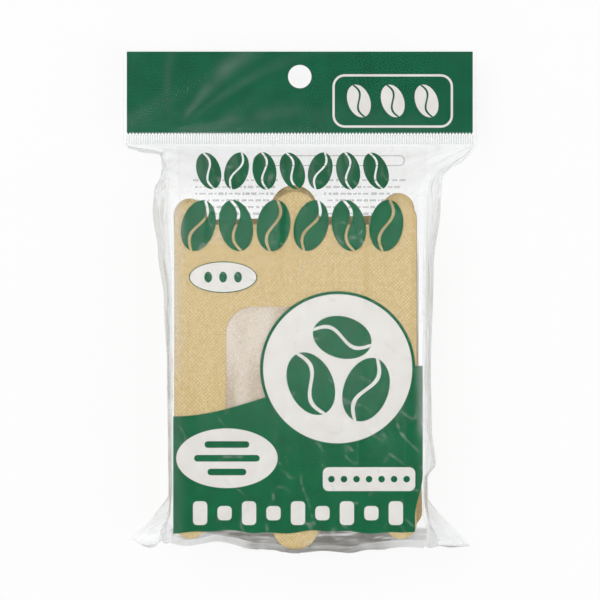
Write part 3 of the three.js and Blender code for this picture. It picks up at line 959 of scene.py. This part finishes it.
CARD_WIDTH, CARD_LENGTH, BOARD = 81, 119.8, 0.35
MIDDLE_LEG_WIDTH, MIDDLE_LEG_LENGTH, SIDE_LEG_WIDTH, SIDE_LEG_LENGTH = 15.3, 11, 10.3, 7.4
WINDOW_WIDTH, WINDOW_LENGTH, WINDOW_CORNER = 46.8, 43, 9
FILTER_PLIES, FILTER_MARGIN, FILTER_CORNER, FILTER_UNDER, FILTER_OVER = 0.2, 8, 3, 0.02, 0.01
DRIPPER_PITCH = 0.63
SQUARE_DRIPPERS = 14
BATCH_TURN = math.radians(1.5)
BATCH_RIGHT = 0.8
JOG = 0.25
JOG_RATES = (2.4, 1.7)
STACK_LEFT_OF_MIDDLE = 1.4
NOTCH_ROUND = 2.0
card_middle = (card_low.y + card_high.y) / 2 / MM
stack_floor = (FILM + FILM_GAP) / MM


def leg(centre_x, width, length, steps=12):
    radius = width / 2
    return arc(centre_x, CARD_LENGTH / 2 - MIDDLE_LEG_LENGTH + length - radius, radius, 0, 180, steps)


def notch_corner(x, toward):
    """The small round where a leg meets the edge between two legs."""
    y = CARD_LENGTH / 2 - MIDDLE_LEG_LENGTH + NOTCH_ROUND
    start = 180 if toward < 0 else 270
    return arc(x - toward * NOTCH_ROUND, y, NOTCH_ROUND, start, start + 90, 4)


def card_outline():
    side = CARD_WIDTH / 2 - SIDE_LEG_WIDTH / 2
    inner, middle = CARD_WIDTH / 2 - SIDE_LEG_WIDTH, MIDDLE_LEG_WIDTH / 2
    upper = [
        *leg(side, SIDE_LEG_WIDTH, SIDE_LEG_LENGTH),
        *notch_corner(inner, 1)[::-1], *notch_corner(middle, -1)[::-1],
        *leg(0, MIDDLE_LEG_WIDTH, MIDDLE_LEG_LENGTH),
        *notch_corner(-middle, 1)[::-1], *notch_corner(-inner, -1)[::-1],
        *leg(-side, SIDE_LEG_WIDTH, SIDE_LEG_LENGTH),
    ]
    return upper + [(-x, -y) for x, y in upper]


def thicken(flat, low, high):
    """Gives a flat mesh an upper and a lower face, joined by walls."""
    for vertex in flat.verts:
        vertex.co.z = low
    raised = bmesh.ops.extrude_face_region(flat, geom=flat.faces[:])
    for element in raised["geom"]:
        if isinstance(element, bmesh.types.BMVert):
            element.co.z = high
    bmesh.ops.recalc_face_normals(flat, faces=flat.faces)
    return flat


def dripper_mesh():
    """Card and folded filter as one mesh in millimetres, with the filter in the second material slot."""
    window = rounded_rectangle(0, 0, WINDOW_WIDTH, WINDOW_LENGTH, WINDOW_CORNER)
    filter_bag = rounded_rectangle(
        0, 0, WINDOW_WIDTH + 2 * FILTER_MARGIN, WINDOW_LENGTH + 2 * FILTER_MARGIN, FILTER_CORNER, 3)
    card = thicken(fill("card", [card_outline(), window]), FILTER_PLIES, FILTER_PLIES + BOARD)
    cloth = thicken(fill("cloth", [filter_bag]), FILTER_UNDER, FILTER_PLIES - FILTER_OVER)
    mesh = bpy.data.meshes.new("dripper")
    cloth.to_mesh(mesh)
    cloth.free()
    for polygon in mesh.polygons:
        polygon.material_index = 1
    card.from_mesh(mesh)
    card.to_mesh(mesh)
    card.free()
    for look in (CARD_LOOK, CLOTH_LOOK):
        mesh.materials.append(look)
    return mesh


class Copier(NodeTree):
    """A Geometry Nodes tree that lays copies of the mesh it is put on."""

    def __init__(self, name, inputs):
        super().__init__(bpy.data.node_groups.new(name, "GeometryNodeTree"))
        sockets = self.tree.interface
        sockets.new_socket("Geometry", in_out="INPUT", socket_type="NodeSocketGeometry")
        self.keys = {}
        for label, kind in inputs.items():
            self.keys[label] = sockets.new_socket(label, in_out="INPUT", socket_type=kind).identifier
        sockets.new_socket("Geometry", in_out="OUTPUT", socket_type="NodeSocketGeometry")
        self.values = self.add("NodeGroupInput").outputs

    def lay(self, points, turn, looks):
        """Copies on points, made real, each material slot with its own look."""
        copies = self.add("GeometryNodeInstanceOnPoints", {
            "Points": points.outputs[0], "Instance": self.values["Geometry"], "Rotation": turn})
        laid = self.add("GeometryNodeRealizeInstances", {0: copies.outputs[0]})
        slot = self.add("GeometryNodeInputMaterialIndex").outputs[0]
        for number, look in enumerate(looks):
            chosen = self.add(
                "FunctionNodeCompare", {2: slot, 3: number}, data_type="INT", operation="EQUAL")
            laid = self.add("GeometryNodeSetMaterial", {
                "Geometry": laid.outputs[0], "Selection": chosen.outputs[0], "Material": look})
        self.add("NodeGroupOutput", {0: laid.outputs[0]})

    def apply(self, holder, values):
        modifier = holder.modifiers.new(self.tree.name, "NODES")
        modifier.node_group = self.tree
        for label, value in values.items():
            modifier[self.keys[label]] = value
        mesh = evaluated_mesh(holder)
        holder.modifiers.remove(modifier)
        return mesh


def stack_tree():
    """Copies a dripper up the stack, each with a small jog that follows its place in the stack."""
    tree = Copier("dripper_stack", {
        "First": "NodeSocketInt", "Count": "NodeSocketInt", "Pitch": "NodeSocketFloat",
        "Jog": "NodeSocketFloat", "Turn": "NodeSocketFloat", "Base": "NodeSocketVector"})
    points = tree.add("GeometryNodeMeshLine", {"Count": tree.values["Count"], "Offset": (0, 0, 0)})
    index = tree.add("GeometryNodeInputIndex").outputs[0]
    place = tree.math("ADD", index, tree.values["First"])
    beat = tree.math("ADD", place, 1.0)
    jogs = [tree.math("MULTIPLY", tree.math("SINE", tree.math("MULTIPLY", beat, rate)), tree.values["Jog"])
            for rate in JOG_RATES]
    height = tree.math("MULTIPLY", place, tree.values["Pitch"])
    offset = tree.add("ShaderNodeCombineXYZ", {0: jogs[0], 1: jogs[1], 2: height}).outputs[0]
    moved = tree.add("ShaderNodeVectorMath", {0: offset, 1: tree.values["Base"]}, operation="ADD")
    placed = tree.add("GeometryNodeSetPosition", {"Geometry": points.outputs[0], "Offset": moved.outputs[0]})
    turn = tree.add("ShaderNodeCombineXYZ", {2: tree.values["Turn"]}).outputs[0]
    tree.lay(placed, turn, (CARD_LOOK, CLOTH_LOOK))
    return tree


def build_stack():
    tree = stack_tree()
    base = dripper_mesh()
    base.transform(Matrix.Scale(MM, 4))
    holder = new_piece("dripper_base", base, None, smooth=False)
    turned_count = DRIPPERS - SQUARE_DRIPPERS
    batches = (
        ("turned_drippers", 0, turned_count, BATCH_TURN, BATCH_RIGHT * MM, BATCH_UP),
        ("square_drippers", turned_count, SQUARE_DRIPPERS - 1, 0.0, 0.0, 0.0),
        ("front_dripper", DRIPPERS - 1, 1, 0.0, 0.0, 0.0),
    )
    pieces = []
    for name, first, count, turn, right, up in batches:
        mesh = tree.apply(holder, {
            "First": first, "Count": count, "Pitch": DRIPPER_PITCH * MM, "Turn": turn,
            "Jog": 0.0 if name == "front_dripper" else JOG * MM,
            "Base": (right - STACK_LEFT_OF_MIDDLE * MM, card_middle * MM + up, stack_floor * MM)})
        piece = new_piece(name, mesh, None, smooth=False)
        numbers = [DRIPPERS - (first + step) for step in range(count)]
        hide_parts(*[f"dripper_{number:02d}" for number in numbers])
        pieces.append((piece, "card"))
    bpy.data.objects.remove(holder)
    return pieces


# The crimp band: ribs pressed across both walls under the header

RIB_PITCH = 0.8
RIB_WIDTH = 0.42
RIB_HEIGHT = 0.08
RIB_STEPS = 6
RIB_SINK = 0.05
RIB_END_ROOM = 0.15
BAND_SIDE_ROOM = 0.8


def rib_tree():
    tree = Copier("crimp_band", {
        "Count": "NodeSocketInt", "Start": "NodeSocketVector", "Pitch": "NodeSocketFloat"})
    step = tree.add("ShaderNodeCombineXYZ", {0: tree.values["Pitch"]}).outputs[0]
    points = tree.add("GeometryNodeMeshLine", {
        "Count": tree.values["Count"], "Start Location": tree.values["Start"], "Offset": step})
    tree.lay(points, (0, 0, 0), [PRESSED_FILM_LOOK])
    return tree


def rib_mesh():
    """A half-round rib on the front wall and its twin on the back wall, about the band's middle."""
    mesh = bmesh.new()
    half = (header_low - band_low) / 2 - RIB_END_ROOM * MM
    for face in (1, -1):
        base = face * (seal_half - RIB_SINK * MM)
        rings = []
        for y, share in ((-half, 0.2), (-0.9 * half, 1), (0.9 * half, 1), (half, 0.2)):
            height = face * share * RIB_HEIGHT * MM
            rings.append([
                mesh.verts.new((RIB_WIDTH / 2 * MM * math.cos(a), y, base + height * math.sin(a)))
                for a in np.linspace(0, math.pi, RIB_STEPS + 1)])
        for first, second in zip(rings, rings[1:]):
            for corner in range(len(first)):
                after = (corner + 1) % len(first)
                mesh.faces.new((first[corner], first[after], second[after], second[corner]))
        mesh.faces.new(rings[0])
        mesh.faces.new(rings[-1])
    bmesh.ops.recalc_face_normals(mesh, faces=mesh.faces)
    return as_mesh("rib", mesh)


def build_crimp():
    holder = new_piece("rib_base", rib_mesh(), PRESSED_FILM_LOOK)
    count = int((2 * bag_half - 2 * BAND_SIDE_ROOM * MM) / (RIB_PITCH * MM))
    start = (-(count - 1) / 2 * RIB_PITCH * MM, (header_low + band_low) / 2, mid_depth)
    mesh = rib_tree().apply(holder, {"Count": count, "Start": start, "Pitch": RIB_PITCH * MM})
    bpy.data.objects.remove(holder)
    return [(new_piece("crimp_ribs", mesh, PRESSED_FILM_LOOK), "clear_film")]


# Camera, floor and light

PIXEL = 0.34 * MM
PHOTO_PIXELS = 600
LENS = 200
SENSOR = 36
CAMERA_SHIFT = Vector((0.08 * MM, 0.04 * MM, 0))


def build_camera():
    camera = bpy.data.cameras.new("camera")
    camera.lens, camera.sensor_width = LENS, SENSOR
    camera.clip_start, camera.clip_end = 0.05, 20
    holder = in_scene("camera", camera)
    distance = PHOTO_PIXELS * PIXEL * LENS / SENSOR
    holder.location = CAMERA_SHIFT + Vector((0, 0, mid_depth + distance))
    bpy.context.scene.camera = holder


def area_light(name, place, width, height, power):
    """A rectangular lamp that faces the middle of the floor."""
    light = bpy.data.lights.new(name, "AREA")
    light.shape, light.size, light.size_y, light.energy = "RECTANGLE", width, height, power
    holder = in_scene(name, light)
    holder.location = place
    holder.rotation_euler = (-Vector(place)).to_track_quat("-Z", "Y").to_euler()


WORLD_LIGHT = 0.42
FLOOR_WHITE = 0.9
FLOOR_GAP = 0.05 * MM
FLOOR_HALF = 4.0


def build_stage():
    mesh = bpy.data.meshes.new("floor")
    corners = [(x * FLOOR_HALF, y * FLOOR_HALF, -FLOOR_GAP) for x, y in ((-1, -1), (1, -1), (1, 1), (-1, 1))]
    mesh.from_pydata(corners, [], [(0, 1, 2, 3)])
    look = Look("floor_paper")
    grain = look.ramp(look.noise(look.place(), 40, 3), (0.3, (0.86, 0.86, 0.86)), (0.7, (0.88, 0.88, 0.88)))
    paper = look.add("ShaderNodeBsdfDiffuse", {"Color": grain})
    glow = look.add("ShaderNodeEmission", {"Color": (1, 1, 1, 1), "Strength": 1.0})
    white = look.finish(look.mix(look.math("MULTIPLY", look.seen_white(), FLOOR_WHITE), paper, glow))
    floor = new_piece("floor", mesh, white, smooth=False)

    world = bpy.data.worlds.new("studio")
    bpy.context.scene.world = world
    world.use_nodes = True
    tree = NodeTree(world.node_tree)
    tree.tree.nodes.clear()
    strength = tree.math("MULTIPLY_ADD", tree.seen_white(), 1 - WORLD_LIGHT, WORLD_LIGHT)
    light = tree.add("ShaderNodeBackground", {"Color": (1, 1, 1, 1), "Strength": strength})
    tree.add("ShaderNodeOutputWorld", {"Surface": light.outputs[0]})

    area_light("key", (-0.5, 0.4, 1.25), 0.6, 0.6, 6.5)
    area_light("left_strip", (-0.42, 0.1, 1.5), 0.17, 1.2, 3.8)
    area_light("right_strip", (0.75, -0.15, 1.0), 0.12, 1.0, 3.6)
    bpy.context.scene.view_settings.view_transform = "Standard"


def main():
    build_camera()
    film = new_piece("bag_film_skin", FILM_SKIN, FILM_LOOK)
    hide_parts("bag_film")
    pieces = [(film, "clear_film")]
    pieces += build_front_print() + build_title_rows() + build_back_print() + build_badge()
    pieces += build_stack() + build_crimp()
    for piece, slot in pieces:
        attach(piece, "root")
    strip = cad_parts["header_strip"]
    for holder in strip.material_slots:
        holder.material = HEADER_INK
    build_stage()


main()
